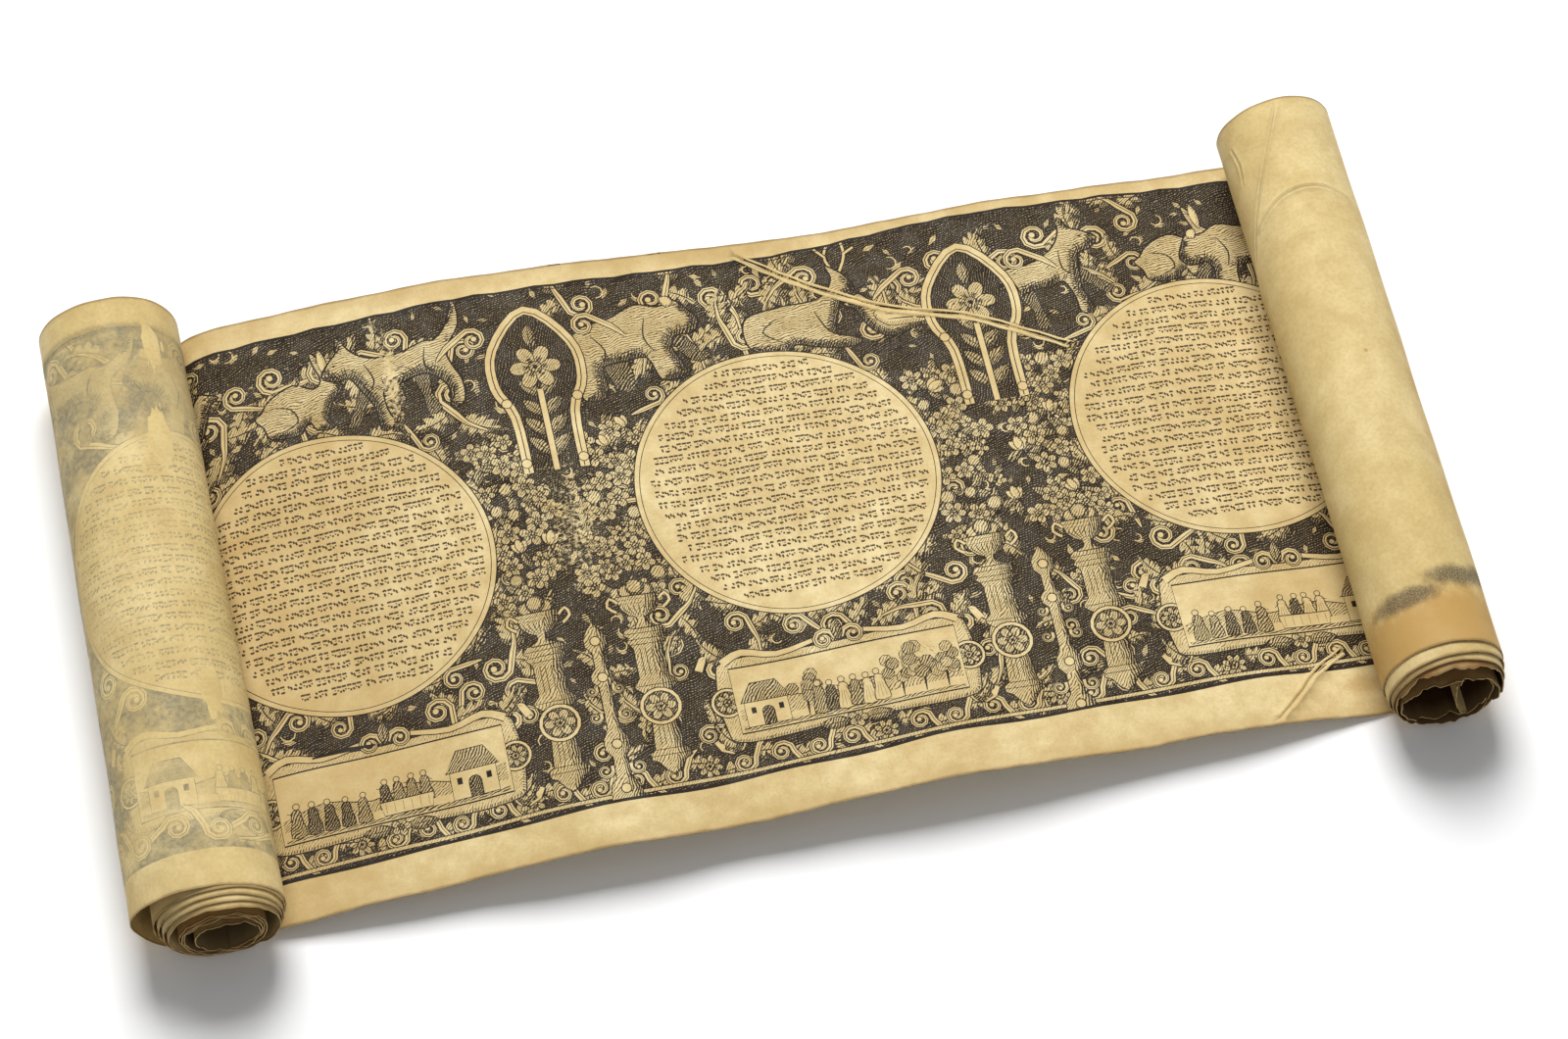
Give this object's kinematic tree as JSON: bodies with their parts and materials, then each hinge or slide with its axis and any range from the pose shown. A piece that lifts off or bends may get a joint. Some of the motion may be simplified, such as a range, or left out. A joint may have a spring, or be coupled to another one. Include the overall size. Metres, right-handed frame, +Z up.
{
  "type": "esther scroll",
  "caption": "Parchment scroll lying partly open: one long sheet rolled up from both ends, text and ornament facing up between the rolls.",
  "frame": {"origin": "bottom centre of the scroll's bounding box, on the surface that it lies on", "axes": "+X along the open sheet from the left roll to the right roll, +Y along the rolls from the near edge to the far edge, +Z up"},
  "size_m": [0.5152, 0.2628, 0.0546],
  "materials": {
    "parchment": "aged cream to ochre parchment, dull, with dark brown etched ornament and brown script on the inner side"
  },
  "bodies": {
    "root": {"parchment_scroll": "parchment"}
  },
  "joints": []
}
